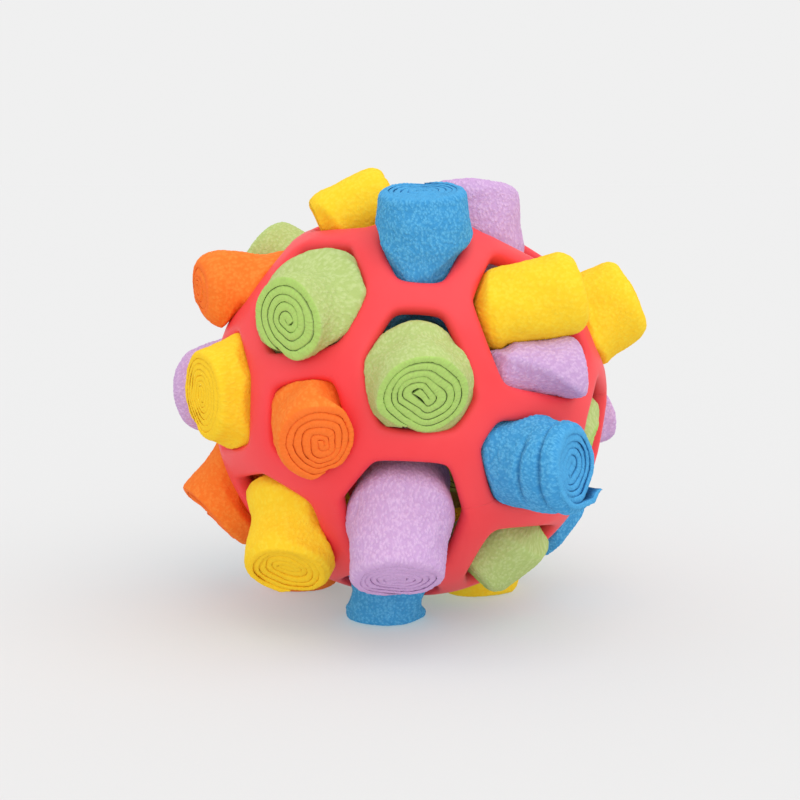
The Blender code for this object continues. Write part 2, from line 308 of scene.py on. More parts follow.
def make_rubber():
    material, shader = new_material("rubber_soft_touch")
    tree = material.node_tree
    place = add_node(tree, "TexCoord", {}).outputs["Object"]
    cloud, grain = (
        add_node(tree, "TexNoise", {"Vector": place, "Scale": 1 / size, "Detail": detail}).outputs["Fac"]
        for size, detail in ((RUBBER_CLOUD, 3), (RUBBER_GRAIN, 2))
    )
    offset = calculate(tree, "SUBTRACT", place, ball_middle, **VECTOR)
    parting = camera_seen(*PARTING_NORMAL).normalized()
    distance = calculate(tree, "DOT_PRODUCT", offset, parting, kind="VectorMath")
    line = remap(tree, calculate(tree, "ABSOLUTE", distance), 0, PARTING_WIDTH, 1, 0)
    ridge = calculate(tree, "MULTIPLY", line, remap(tree, cloud, *PARTING_SHOWN))
    fine = add_node(tree, "Bump", {"Height": grain, **RUBBER_BUMP}).outputs["Normal"]
    seam = add_node(tree, "Bump", {"Height": ridge, "Normal": fine, **PARTING_BUMP})
    tone = remap(tree, cloud, *RUBBER_TONES)
    set_inputs(shader, {
        "Base Color": colour_mix(tree, tone, RUBBER_RED, RUBBER_PALE),
        "Roughness": remap(tree, cloud, *RUBBER_ROUGHNESS),
        "Normal": seam.outputs["Normal"],
        **RUBBER_LOOK,
    })
    return material


lattice.data.materials.append(make_rubber())
print("rubber nodes:", len(lattice.data.materials[0].node_tree.nodes))

# %% [markdown]
# Fleece is knitted and then brushed, so both faces carry a nap of fine fibres that gather in small clumps.
# Its colour has four parts. The tips of the clumps get a painted highlight and the hollows between them a
# painted shade, over the dye and a tone that differs at random. A cut edge shows the denser core of the
# cloth. Where a turn lies under another, or at the bottom of a crease, a painted shade stands for the light
# that hardly comes in. One node group makes all four. It reads the cloth's own UV map, so that the clumps
# follow the cloth round the roll, and two attributes that say where the edge is cut and how much painted
# shade each point gets.

# %% The nap of the fleece, as a node group
FIBRES = {"Detail": 2, "Roughness": 0.6}
FIBRE_DENSITY = 1.7
FIBRE_LIFT = 0.6
FUZZ = (0.38, 0.62, 0, 0.45)
NAP_SWAY = (0.9 * MM, 0.9 * MM, 0)
CLUMP_SOFTNESS = 0.35
# How the painted highlight on the clump tips and the painted shade in the hollows spread.
TIPS = (0.8, 1.25, -0.5, 0.5)
TIPS_MIDDLE = 0.55
TONE_CLOUD = 8 * MM
TONE_LIFT = 0.3


def make_nap():
    tree = bpy.data.node_groups.new("fleece_nap", "ShaderNodeTree")
    for way, kind, labels in (
        ("INPUT", "Color", ("Tip", "Hollow", "Cut", "Buried")),
        ("INPUT", "Float", ("Clump Size", "Streak", "Contrast")),
        ("OUTPUT", "Color", ("Colour",)),
        ("OUTPUT", "Float", ("Height",)),
    ):
        for label in labels:
            tree.interface.new_socket(label, in_out=way, socket_type="NodeSocket" + kind)
    given = tree.nodes.new("NodeGroupInput").outputs
    wanted = tree.nodes.new("NodeGroupOutput")

    cloth = add_node(tree, "UVMap", {}, uv_map="cloth").outputs["UV"]
    squeeze = calculate(tree, "DIVIDE", 1, given["Streak"])
    stretch = add_node(tree, "CombineXYZ", {"X": 1, "Y": squeeze, "Z": 1}).outputs["Vector"]
    along = calculate(tree, "MULTIPLY", cloth, stretch, **VECTOR)
    scale = calculate(tree, "DIVIDE", 1, given["Clump Size"])
    density = calculate(tree, "MULTIPLY", scale, FIBRE_DENSITY)
    fibres = add_node(tree, "TexNoise", {"Vector": along, "Scale": density, **FIBRES}).outputs
    swayed = calculate(tree, "MULTIPLY_ADD", fibres["Color"], NAP_SWAY, along, **VECTOR)
    clump = {"Vector": swayed, "Scale": scale, "Smoothness": CLUMP_SOFTNESS}
    gaps = add_node(tree, "TexVoronoi", clump, feature="SMOOTH_F1").outputs["Distance"]
    place = add_node(tree, "TexCoord", {}).outputs["Object"]
    tones = add_node(tree, "TexNoise", {"Vector": place, "Scale": 1 / TONE_CLOUD, "Detail": 2})

    # Lighter tips and darker hollows: a painted highlight on the clumps and a painted shade between them,
    # following the nap's relief, with a random tone mixed in.
    rise = calculate(tree, "SUBTRACT", 1, gaps)
    fluff = calculate(tree, "MULTIPLY_ADD", fibres["Fac"], FIBRE_LIFT, rise)
    patchy = calculate(tree, "MULTIPLY_ADD", tones.outputs["Fac"], TONE_LIFT, fluff)
    tips = remap(tree, patchy, *TIPS)
    shown = calculate(tree, "MULTIPLY_ADD", tips, given["Contrast"], TIPS_MIDDLE)
    face = colour_mix(tree, shown, given["Hollow"], given["Tip"])
    edge = colour_mix(tree, remap(tree, fibres["Fac"], *FUZZ), given["Cut"], given["Hollow"])
    # The second attribute gives how much painted shade a point gets: under other turns and at the bottom of
    # creases.
    cut, buried = (
        add_node(tree, "Attribute", {}, attribute_name=name).outputs["Fac"]
        for name in ("cut_edge", "buried")
    )
    edged = colour_mix(tree, cut, face, edge)
    set_inputs(wanted, {"Height": fluff, "Colour": colour_mix(tree, buried, edged, given["Buried"])})
    return tree


nap = make_nap()
print("nap nodes:", len(nap.nodes))

# %% [markdown]
# Five dyes, and not five copies of one cloth: the lilac and the blue have the woolliest nap, the green is
# shorter, and the yellow and the orange are brushed almost smooth. Their painted shade between turns is
# pale, so that the turns of their rolls hardly show. Sheen on the shader is what makes the edge of a roll
# look soft.

# %% The five cloths
FLEECE_BUMP = 0.8
FLEECE_LOOK = {"Roughness": 0.95, "Specular IOR Level": 0.15, "Sheen Roughness": 0.45}


@dataclass
class Cloth:
    """One dyed fleece: its colours, the gap between its turns, and its nap, which is smooth by default. The
    tip colour is the dye with a painted highlight, the hollow colour the dye with a painted shade, the cut
    colour the dye alone, and the last colour a painted shade for faces under other turns and in creases.
    """

    tip: tuple
    hollow: tuple
    cut: tuple
    buried: tuple
    gap: float
    clump: float = 0.9 * MM
    streak: float = 1.3
    contrast: float = 0.5
    depth: float = 0.2 * MM
    sheen: float = 0.12
    lumps: float = 0.14 * MM


CLOTHS = {
    "blue": Cloth(
        tip=(0.13, 0.5, 0.84), hollow=(0.045, 0.3, 0.64), cut=(0.095, 0.42, 0.76),
        buried=(0.01, 0.09, 0.26),
        clump=0.68 * MM, streak=1.2, contrast=0.8, depth=0.35 * MM, sheen=0.2, lumps=0.18 * MM,
        gap=0.1 * MM,
    ),
    "green": Cloth(
        tip=(0.58, 0.68, 0.29), hollow=(0.42, 0.54, 0.16), cut=(0.46, 0.7, 0.17),
        buried=(0.07, 0.19, 0.015),
        clump=0.8 * MM, streak=1.2, contrast=0.6, depth=0.28 * MM, sheen=0.2, gap=0.14 * MM,
    ),
    "yellow": Cloth(
        tip=(1, 0.72, 0.05), hollow=(0.98, 0.6, 0.016), cut=(1, 0.64, 0.03),
        buried=(0.9, 0.48, 0.012), gap=0.03 * MM,
    ),
    "orange": Cloth(
        tip=(1, 0.29, 0.05), hollow=(0.95, 0.17, 0.016), cut=(1, 0.205, 0.036),
        buried=(0.72, 0.07, 0.005), gap=0.06 * MM,
    ),
    "lilac": Cloth(
        tip=(0.77, 0.53, 0.8), hollow=(0.57, 0.34, 0.63), cut=(0.68, 0.43, 0.74),
        buried=(0.36, 0.16, 0.42),
        clump=0.75 * MM, streak=1.4, contrast=0.65, depth=0.35 * MM, sheen=0.2, lumps=0.2 * MM,
        gap=0.05 * MM,
    ),
}


def make_fleece(name, cloth):
    material, shader = new_material("fleece_" + name)
    tree = material.node_tree
    # Of these colours the tip carries a painted highlight, the hollow and the fourth a painted shade; the
    # cut colour is the dye.
    dyes_and_painted_light = {key.capitalize(): (*getattr(cloth, key), 1) for key in ("tip", "hollow", "cut", "buried")}
    nap_size = {"Clump Size": cloth.clump, "Streak": cloth.streak, "Contrast": cloth.contrast}
    group = add_node(tree, "Group", {}, node_tree=nap)
    set_inputs(group, dyes_and_painted_light | nap_size)
    relief = {"Height": group.outputs["Height"], "Strength": FLEECE_BUMP, "Distance": cloth.depth}
    set_inputs(shader, {
        "Base Color": group.outputs["Colour"],
        "Normal": add_node(tree, "Bump", relief).outputs["Normal"],
        "Sheen Weight": cloth.sheen,
        "Sheen Tint": dyes_and_painted_light["Tip"],
        **FLEECE_LOOK,
    })
    return material


fleece = {name: make_fleece(name, cloth) for name, cloth in CLOTHS.items()}
print("cloths:", ", ".join(fleece))

# %% [markdown]
# A rolled strip is best made as what it is. We don't model a cylinder with a drawn spiral: we wind a strip.
# Each roll needs few facts. The plain model gives where its two ends are. The list here gives its cloth,
# its size, the way its outer end faces, how far that end has moved from the plain model's, how much the
# cloth fills the hole, and how the end looks: domed, dished, drawn in, or with a loose corner.

# %% The rolls
HIDDEN_SIDE = (0, -1, -1)
DOWN = (0, 0, -1)


@dataclass
class Crease:
    """A fold round a roll: its distance from the outer end, slant per turn, middle and width in degrees,
    depth of the groove, and how much the cloth stands up past it. Lengths are in millimetres."""

    distance: float
    slant: float
    middle_deg: float
    width_deg: float
    depth: float
    step: float


@dataclass
class Roll:
    """One rolled strip, named by its cloth and its place. Lengths are in millimetres, and directions as
    seen from the front: right, front, up."""

    name: str
    radius: float
    facing: tuple
    loose_side: tuple = HIDDEN_SIDE
    moved: tuple = (0, 0, 0)
    longer: float = 0.0
    core_deg: float = 20
    core: float = 1.2
    dome: float = 0.3
    rounded: float = 0.09
    taper: float = 0.04
    taper_length: float = 6.0
    fill: float = 0.3
    # How strong the painted shade is on faces under other turns.
    groove: float = 1.0
    ragged: float = 0.25
    peel: float = 0.0
    creases: tuple = ()
    lies_across: bool = False

    @property
    def cloth(self):
        return self.name.split("_")[0]


ROLLS = (
    Roll("blue_top", 13.4, (-0.02, 0.21, 0.98), moved=(-1.1, 0, 0), taper=0.15, taper_length=14,
         dome=-0.3, core=2.4, core_deg=90, groove=0.4, ragged=0.15),
    Roll("lilac_top_right", 12.5, (0.03, -0.10, 0.99), moved=(-4.6, 0, 2.8), fill=0.1, dome=1.6,
         rounded=0.36, groove=0.4),
    Roll("yellow_right", 12.7, (0.90, -0.05, 0.42), moved=(0, 0, 4), dome=1.4, rounded=0.3, taper=0.06,
         taper_length=12, groove=0.5),
    Roll("green_centre", 11.6, (0.15, 0.88, -0.45), moved=(0.6, 0, -0.6), loose_side=(-0.5, 0, -1),
         core_deg=75, core=4, dome=0.2, taper=0.02, taper_length=8, rounded=0.05),
    Roll("blue_right", 12, (0.80, 0.57, 0.10), moved=(0, 0, -1.8), loose_side=(0.43, -0.6, -0.66),
         dome=-2, taper=0.12, taper_length=10, rounded=0.1, fill=0.2, peel=3.2, core=2, core_deg=80,
         creases=(Crease(4.4, -3, 222, 170, 0.8, 0.8), Crease(10, 1, 222, 55, 0.8, 0))),
    Roll("lilac_front", 12.9, (0.03, 0.58, -0.81), moved=(0.2, 0, -0.6), fill=0.13, taper=0.06,
         taper_length=16, dome=-0.3, core=3, core_deg=80, groove=0.45, rounded=0.1),
    Roll("yellow_front_left", 12, (-0.14, 0.74, -0.66), moved=(-1, 0, -1), fill=0.4, dome=-1.8,
         rounded=0.1, core=2.4, core_deg=60, groove=0.5),
    Roll("orange_centre", 12.8, (0.05, 0.95, -0.32), moved=(2.5, 0, -1.6), core_deg=10, core=1.6,
         dome=0.6, rounded=0.1, taper=0.12, taper_length=9),
    Roll("yellow_left", 15.4, (-0.84, 0.52, -0.02), moved=(-1.2, 0, 0), core_deg=30, core=2.4,
         taper=0.22, taper_length=13, fill=0.15, groove=0.15, ragged=0.05),
    Roll("green_left", 11.3, (-0.60, 0.78, -0.10), moved=(0.8, 0, -0.6), core_deg=60, core=0.3,
         taper=0.02, rounded=0.06, fill=0.7),
    Roll("orange_top_left", 10.4, (-0.86, 0.42, -0.06), moved=(-1.4, 0, 0.6), fill=0.35, taper=0.1,
         dome=1.2, rounded=0.4, groove=0.1),
    Roll("green_back_left", 11.2, (-0.75, -0.38, 0.55), moved=(-1.5, 0, -0.5), fill=0.5, dome=1.6,
         rounded=0.25),
    Roll("orange_low_left", 12.8, (-0.67, 0.25, -0.70), moved=(1.6, 0, -3.2), ragged=0.8),
    Roll("lilac_left", 12.7, (-0.92, -0.31, -0.15), moved=(-2, 0, -5.6), dome=1.6, rounded=0.45,
         groove=0.6),
    Roll("green_right", 11.6, (0.90, 0.20, -0.40), moved=(-0.8, 0, -5.4), dome=1.2, rounded=0.3,
         groove=0.4),
    Roll("blue_low_right", 11.8, (0.78, -0.06, -0.62)),
    Roll("lilac_right", 8.4, (0.90, -0.37, 0.20), moved=(1.2, 0, 6), dome=1.2, rounded=0.2),
    Roll("orange_top_back", 11.8, (0.11, -0.44, 0.89), fill=0.5),
    Roll("lilac_back_right", 12.4, (0.64, -0.60, 0.48), core=2.4),
    Roll("blue_back", 12.7, (0.10, -0.85, 0.52), dome=1),
    Roll("lilac_back_low", 13.3, (-0.20, -0.95, -0.26), core_deg=130),
    Roll("yellow_back_left", 12.2, (-0.45, -0.88, 0.15), dome=-1),
    Roll("orange_back_right", 12.2, (0.55, -0.80, 0.22), core_deg=100, dome=0.8, rounded=0.16),
    Roll("blue_back_low_left", 13.3, (-0.60, -0.75, -0.28), dome=0.8, rounded=0.16),
    Roll("green_back_right_low", 13, (0.45, -0.80, -0.40), core_deg=50),
    Roll("blue_foot_front", 11.2, DOWN, rounded=0.1, ragged=0, dome=0),
    Roll("yellow_foot_right", 11.4, DOWN, moved=(-1, 0, 0), rounded=0.2, ragged=0, dome=0),
    Roll("orange_foot_left", 10.8, DOWN, moved=(-1.5, -3, 0), ragged=0, dome=0),
    Roll("green_foot_back", 12.2, DOWN, ragged=0, dome=0),
    Roll("yellow_top_left", 10.4, (0.35, -0.03, 0.165), moved=(-0.9, 0, -1.5), lies_across=True, dome=0.8,
         rounded=0.28, longer=0.6, groove=0.4),
    Roll("yellow_across", 11.1, (0.42, -0.02, 0.107), moved=(0.1, 0, -1.8), lies_across=True, dome=1,
         rounded=0.38, longer=5, groove=0.4),
    Roll("lilac_across", 11.2, (0.338, -0.097, 0.032), moved=(-0.9, 0, -3.8), longer=6,
         lies_across=True, dome=1, rounded=0.34, groove=0.4),
    Roll("green_across", 11.4, (0.235, -0.08, 0.21), moved=(-1, -4, 3), longer=5.5,
         lies_across=True, dome=1, rounded=0.36),
)
print("rolls:", len(ROLLS))

# %% [markdown]
# A roll's middle line starts inside the ball, passes through its hole and bends over to where its outer end
# faces. We read the ends from the plain model: each is the largest flat face that looks roughly that way. A
# cubic curve joins the two smoothly. Along the line we carry two directions across the roll, turned as
# little as possible from one place to the next, so that the cloth isn't twisted.

# %% Find each roll's line
END_DEPTH = 0.3 * MM
PATH_STEP = 0.75 * MM
ROUGHLY_COSINE = 0.75
FLAT_TURN = 0.02


def seen(right, front, up):
    """A vector given as seen from the front."""
    return Vector((right, -front, up))


def flat_end(obj, direction):
    """The middle and the facing of the largest flat face group that faces roughly a direction."""
    read = {}
    for key, width in (("normal", 3), ("center", 3), ("area", 1)):
        values = np.empty(len(obj.data.polygons) * width)
        obj.data.polygons.foreach_get(key, values)
        read[key] = values.reshape(-1, width)
    towards = read["normal"] @ np.array(direction) > ROUGHLY_COSINE
    normals, centers, areas = (read[key][towards] for key in ("normal", "center", "area"))
    heights = (normals * centers).sum(axis=1) / END_DEPTH
    planes = np.column_stack((normals / FLAT_TURN, heights)).round()
    group = np.unique(planes, axis=0, return_inverse=True)[1].ravel()
    flat = group == np.bincount(group, weights=areas[:, 0]).argmax()
    middle = (centers[flat] * areas[flat]).sum(axis=0) / areas[flat].sum()
    return Vector(middle), Vector(normals[flat].mean(axis=0)).normalized()


def cubic(start, start_facing, end, end_facing, share):
    """A place on the cubic curve that leaves one place and reaches another in the directions given."""
    span = (end - start).length
    a = 2 * share**3 - 3 * share**2 + 1
    b = share**3 - 2 * share**2 + share
    c = 3 * share**2 - 2 * share**3
    d = share**3 - share**2
    return start * a + start_facing * (b * span) + end * c + end_facing * (d * span)


def roll_stops(roll):
    """The places that a roll's line passes through, each with its direction, and the inner end's radius."""
    node = frame["nodes"]["roll_" + roll.name]
    points = points_of(node)
    facing = seen(*roll.facing).normalized()
    axis = facing if roll.lies_across else axes[roll.name]
    inner, backwards = flat_end(node, -axis)
    outer = flat_end(node, facing)[0]
    inner_ring = points[abs((points - np.array(inner)) @ np.array(backwards)) < END_DEPTH]
    inner_radius = np.linalg.norm(inner_ring - np.array(inner), axis=1).max()
    moved = seen(*roll.moved) * MM
    if roll.lies_across:
        return [(inner + moved - facing * roll.longer * MM, facing), (outer + moved, facing)], inner_radius
    return [(inner, axis), (outer + moved, facing)], inner_radius


@dataclass
class Line:
    """A roll's middle line in even steps: places, both directions across it, and the distance along it."""

    places: np.ndarray
    rights: np.ndarray
    ups: np.ndarray
    along: np.ndarray
    facing: np.ndarray

    def at(self, along):
        """Places and directions at distances along the line, which runs on straight past its end."""
        inside = np.clip(along, 0, self.along[-1])
        beyond = (along - inside)[..., None] * self.facing
        read = [
            np.stack([np.interp(inside, self.along, table[:, i]) for i in range(3)], axis=-1)
            for table in (self.places, self.rights, self.ups)
        ]
        return read[0] + beyond, read[1], read[2]


def roll_line(stops, loose_side):
    """The line through the stops. At the outer end its first direction across points to the loose side."""
    places = []
    for (start, start_facing), (end, end_facing) in zip(stops, stops[1:]):
        steps = max(2, round((end - start).length / PATH_STEP))
        places += [cubic(start, start_facing, end, end_facing, i / steps) for i in range(steps)]
    places.append(stops[-1][0])
    facings = [(b - a).normalized() for a, b in zip(places, places[1:])]
    facings.append(stops[-1][1])
    right = loose_side - facings[-1] * loose_side.dot(facings[-1])
    rights = [right.normalized()]
    for before, after in zip(facings[-2::-1], facings[:0:-1]):
        turned = after.rotation_difference(before) @ rights[-1]
        rights.append((turned - before * turned.dot(before)).normalized())
    rights.reverse()
    ups = [facing.cross(right) for facing, right in zip(facings, rights)]
    places = np.array(places)
    steps = np.linalg.norm(np.diff(places, axis=0), axis=1)
    along = np.concatenate(([0], np.cumsum(steps)))
    return Line(places, np.array(rights), np.array(ups), along, np.array(facings[-1]))


lines = {}
inner_radii = {}
for roll in ROLLS:
    stops, inner_radii[roll.name] = roll_stops(roll)
    lines[roll.name] = roll_line(stops, seen(*roll.loose_side))
lengths = [line.along[-1] / MM for line in lines.values()]
print("roll lengths (mm):", round(min(lengths), 1), "to", round(max(lengths), 1))

# %% [markdown]
# The holes are smaller than some rolls, and a real strip squeezes in. We measure how much room there is
# round each roll with rays: from the roll's middle line we look outwards in many directions until we meet
# rubber or another roll. Cloth can't follow a sharp corner, so beside each tight place the roll may only
# widen again along a gentle bow. The roll has its own radius, and just inside the hole it spreads out to
# fill the corners. The lesser of what it wants and what it may have gives the outline at each place.

# %% Measure the room round each roll
ANGLES = 72
RUBBER_GAP = 0.25 * MM
ROLL_GAP = 0.3 * MM
PRESS_SLACK = 1.07
BOW_RADIUS = 2.0 * MM
BOW_STEPS = 10
FILL_DEPTH = 4.5 * MM
FILL_LENGTH = 4.5 * MM
FILL_END = 6 * MM
BLEND_WIDTH = 0.25 * MM
SLIMMEST_SHARE = 0.35
WALL_DEPTH = 5 * MM
PRESSED_ANGLES = ANGLES // 5
SHAPE_WAVES = 4
SHAPE_TURNS = (2, 3, 4, 5)
SHAPE_LENGTHS_MM = (14, 34)
SHAPE_SHARE = 0.011

angles = np.arange(ANGLES) * math.tau / ANGLES


# What a roll may not enter: its surface, the corners of its box and the gap to keep to it.
Obstacle = namedtuple("Obstacle", "tree low high gap")


def obstacle_of(obj, gap):
    points = points_of(obj)
    faces = [tuple(face.vertices) for face in obj.data.polygons]
    tree = BVHTree.FromPolygons(points.tolist(), faces)
    return Obstacle(tree, points.min(axis=0), points.max(axis=0), gap)


def room_round(line, reach, obstacles):
    """How far the nearest obstacle is from the line: a row for each place, a column for each angle."""
    room = np.full((len(line.places), ANGLES), reach)
    low, high = line.places.min(axis=0) - reach, line.places.max(axis=0) + reach
    near = [o for o in obstacles if (o.low < high).all() and (o.high > low).all()]
    for i, place in enumerate(line.places):
        origin = Vector(place)
        for j, angle in enumerate(angles):
            direction = Vector(line.rights[i] * math.cos(angle) + line.ups[i] * math.sin(angle))
            for obstacle in near:
                distance = obstacle.tree.ray_cast(origin, direction, room[i, j] + obstacle.gap)[3]
                if distance is not None:
                    room[i, j] = max(distance - obstacle.gap, 0)
    return room


def pressed_flat(room):
    """Keeps a roll's cross section from being hollow: each tight place presses a flat side on it."""
    flat = room.copy()
    for count in range(1, PRESSED_ANGLES):
        for way in (count, -count):
            flat = np.minimum(flat, np.roll(room, way, axis=1) * PRESS_SLACK / math.cos(angles[count]))
    return flat


def bowed(room):
    """Lets the room widen along the roll only in a gentle bow from each tight place."""
    bow = room.copy()
    for count in range(1, BOW_STEPS + 1):
        lift = (count * PATH_STEP) ** 2 / (2 * BOW_RADIUS)
        bow[count:] = np.minimum(bow[count:], room[:-count] + lift)
        bow[:-count] = np.minimum(bow[:-count], room[count:] + lift)
    return bow


def smooth_least(first, second):
    """The lesser of two lengths, with a soft change from one to the other."""
    low, high = np.minimum(first, second), np.maximum(first, second)
    return low - BLEND_WIDTH * np.log1p(np.exp((low - high) / BLEND_WIDTH))


def smooth_step(share):
    share = np.clip(share, 0, 1)
    return share * share * (3 - 2 * share)


def unevenness(roll, line):
    """How far a hand-rolled strip is from round, as a share of its radius at each place and angle."""
    draw = random.Random("shape of " + roll.name)
    total = np.zeros((len(line.along), ANGLES))
    for _ in range(SHAPE_WAVES):
        turns, wavelength = draw.choice(SHAPE_TURNS), draw.uniform(*SHAPE_LENGTHS_MM) * MM
        phase = line.along[:, None] / wavelength * math.tau + draw.uniform(0, math.tau)
        total += np.sin(turns * angles + draw.uniform(0, math.tau)) * np.cos(phase)
    return total * SHAPE_SHARE


def depth_under_surface(line, distance):
    """How deep under the ball's round surface each place at a distance from the line is, for each angle."""
    across = line.rights[:, None] * np.cos(angles)[:, None] + line.ups[:, None] * np.sin(angles)[:, None]
    places = line.places[:, None] + across * distance - np.array(ball_middle)
    return ball_radius - np.linalg.norm(places, axis=2)


def roll_outline(roll, line, obstacles):
    """A roll's outer radius at each place and angle: its own, spread out in its hole, within its room."""
    radius = roll.radius * MM
    wanted = np.full((len(line.along), 1), radius)
    room = room_round(line, radius * (1 + roll.fill) + BOW_RADIUS, obstacles)
    if not roll.lies_across:
        outside = np.linalg.norm(line.places - np.array(ball_middle), axis=1) > ball_radius
        mouth = line.along[outside.argmax()] if outside.any() else line.along[-1]
        growth = smooth_step(line.along / mouth)[:, None]
        wanted = inner_radii[roll.name] + (radius - inner_radii[roll.name]) * growth
        depth = depth_under_surface(line, radius)
        spread = radius * roll.fill * np.exp(-(((depth - FILL_DEPTH) / FILL_LENGTH) ** 2))
        wanted = wanted + spread * smooth_step((line.along[-1] - line.along) / FILL_END)[:, None]
    room = bowed(pressed_flat(room))
    outline = smooth_least(wanted * (1 + unevenness(roll, line)), room)
    return np.maximum(outline, SLIMMEST_SHARE * radius)


# %% [markdown]
# Now the winding. Cut across, the strip is a spiral made of half circles round two centres that lie half a
# pitch apart, which is how a draughtsman draws a coil: each half turn is half a pitch wider than the last.
# When the two centres are moved apart, the strip starts with a flat fold, because fingers fold its end
# before they roll it. The fold fades out towards the outside, where the roll is round. A spiral leaves a
# step in the roll's outline. Fingers press that step flat, so the turns are spread a little, except beside
# the loose end.

# %% Wind a strip
PITCH = 2.2 * MM
INNER_COLUMN = 0.9 * MM
OUTER_COLUMN = 0.55 * MM
LEAST_HALF_STEPS = 12
TAIL_STEPS = 5
TAIL_SHARE = 0.36
LOOSE_LENGTH = 4 * MM
LOOSE_THICKNESS_SHARE = 0.35
STEP_WIDTH = math.radians(50)
FINE_TURNS = 1.5
SWAYS = 3
SWAY_SIZE = 0.2 * MM
SWAY_LENGTHS_MM = (9, 16)


# A strip's cross section: each column's middle, normal, half thickness, turn and place along the cloth.
Winding = namedtuple("Winding", "middles normals halves turns last_turn length radius pitch fold sways")


def sway_rates(draw):
    """How fast a sway of the turns changes in two directions across the roll, in radians per metre."""
    return [math.tau / draw.uniform(*SWAY_LENGTHS_MM) / MM * draw.choice((-1, 1)) for _ in range(2)]


def wind(roll):
    """Winds a strip: a straight folded end, and then half circles round two centres."""
    gap = CLOTHS[roll.cloth].gap
    radius = roll.radius * MM
    core_angle = math.radians(roll.core_deg)
    quarter = 0.25 - core_angle / math.tau
    last = quarter + round(2 * ((radius + gap / 2) / PITCH - 0.5 - quarter)) / 2
    pitch = (radius + gap / 2) / (last + 0.5)
    fold = roll.core * MM / 2
    tail = 2 * fold + TAIL_SHARE * pitch
    parts = [(fold - tail * (1 - i / TAIL_STEPS), 0, 0, -1, 0) for i in range(TAIL_STEPS)]
    for half in range(math.ceil(2 * last)):
        reach = (half + 1) * pitch / 2
        middle = (fold, pitch / 2) if half % 2 == 0 else (-fold, 0)
        column = OUTER_COLUMN if half / 2 > last - FINE_TURNS else INNER_COLUMN
        end = min(1, 2 * last - half)
        steps = max(LEAST_HALF_STEPS, round(math.pi * reach * end / column))
        last_half = half == math.ceil(2 * last) - 1
        for i in range(steps + last_half):
            share = i / steps * end
            angle = math.pi * (half + share - 0.5)
            across, up = math.cos(angle), math.sin(angle)
            place = (middle[0] + reach * across, middle[1] + reach * up)
            parts.append((*place, across, up, (half + share) / 2))
    table = np.array(parts)
    middles, normals, turns = table[:, 0:2] - (0, pitch / 4), table[:, 2:4], table[:, 4]
    steps = np.linalg.norm(np.diff(middles, axis=0), axis=1)
    length = np.concatenate(([0], np.cumsum(steps)))
    thickness = pitch - gap
    loose = smooth_step((length[-1] - length) / LOOSE_LENGTH)
    halves = thickness / 2 * (LOOSE_THICKNESS_SHARE + (1 - LOOSE_THICKNESS_SHARE) * loose)
    middles = middles - normals * (thickness / 2 - halves)[:, None]
    draw = random.Random("sway of " + roll.name)
    rates = [sway_rates(draw) for _ in range(SWAYS)]
    sways = [(*pair, draw.uniform(0, math.tau)) for pair in rates]
    return Winding(middles, normals, halves, turns, last, length, radius, pitch, fold, sways)


def across_roll(winding, rows):
    """Each point's distance from the roll's middle, as a share, and its angle from the loose end."""
    outward = (winding.halves[:, None] * rows.side)[..., None]
    across = winding.middles[:, None] + winding.normals[:, None] * outward
    x, y = across[..., 0], across[..., 1]
    share = np.minimum(np.hypot(x, y) / winding.radius, 1)
    x = x * (1 - share * winding.fold / (winding.radius + winding.fold))
    free = 1 - share**2
    for turns_x, turns_y, phase in winding.sways:
        wave = SWAY_SIZE * free * np.sin(x * turns_x + y * turns_y + phase)
        x, y = x + wave * np.sign(turns_y), y + wave * np.sign(turns_x)
    loose_angle = math.tau * winding.last_turn - math.pi / 2
    return np.hypot(x, y) / winding.radius, np.arctan2(y, x) - loose_angle


def evened(angle, winding):
    """How much the turns are spread at an angle from the loose end, to press the spiral's step flat."""
    behind = (-angle) % math.tau
    spread = 1 / (1 - winding.pitch / winding.radius * behind / math.tau)
    return 1 + (spread - 1) * (1 - smooth_step((behind - math.tau + STEP_WIDTH) / STEP_WIDTH))


winding = wind(ROLLS[0])
print("turns in the top roll:", round(winding.last_turn, 1))
print("its strip is", round(winding.length[-1] / MM), "mm long before it is rolled")

# %% [markdown]
# The strip's mesh is a grid. Its columns follow the spiral, and its rows go round the cloth: up its outer
# face, over the cut edge at the top, down its inner face and round the lower edge. Rows lie close together
# where the cloth shows and far apart deep inside the ball. Each point is found on the spiral first, and
# then carried to the roll's line and outline.

# %% Lay the rows of a strip
ROW_STEP = 0.55 * MM
EDGE_ROUND = 0.45 * MM
EDGE_ROWS = 5
DEEP_ROWS = 5
INNER_DEPTHS = (1.3 * MM, 2.6 * MM, 6.0 * MM)
EDGE_FULLNESS = 0.75
SHOWN_MARGIN = 3 * MM


# For each row: the side of the cloth (1 outer, -1 inner), the depth under the top edge, the share of the
# way down to the lower edge, the height above that edge, 1 on a cut edge, and V on the UV map.
Rows = namedtuple("Rows", "side depth low foot cut v")


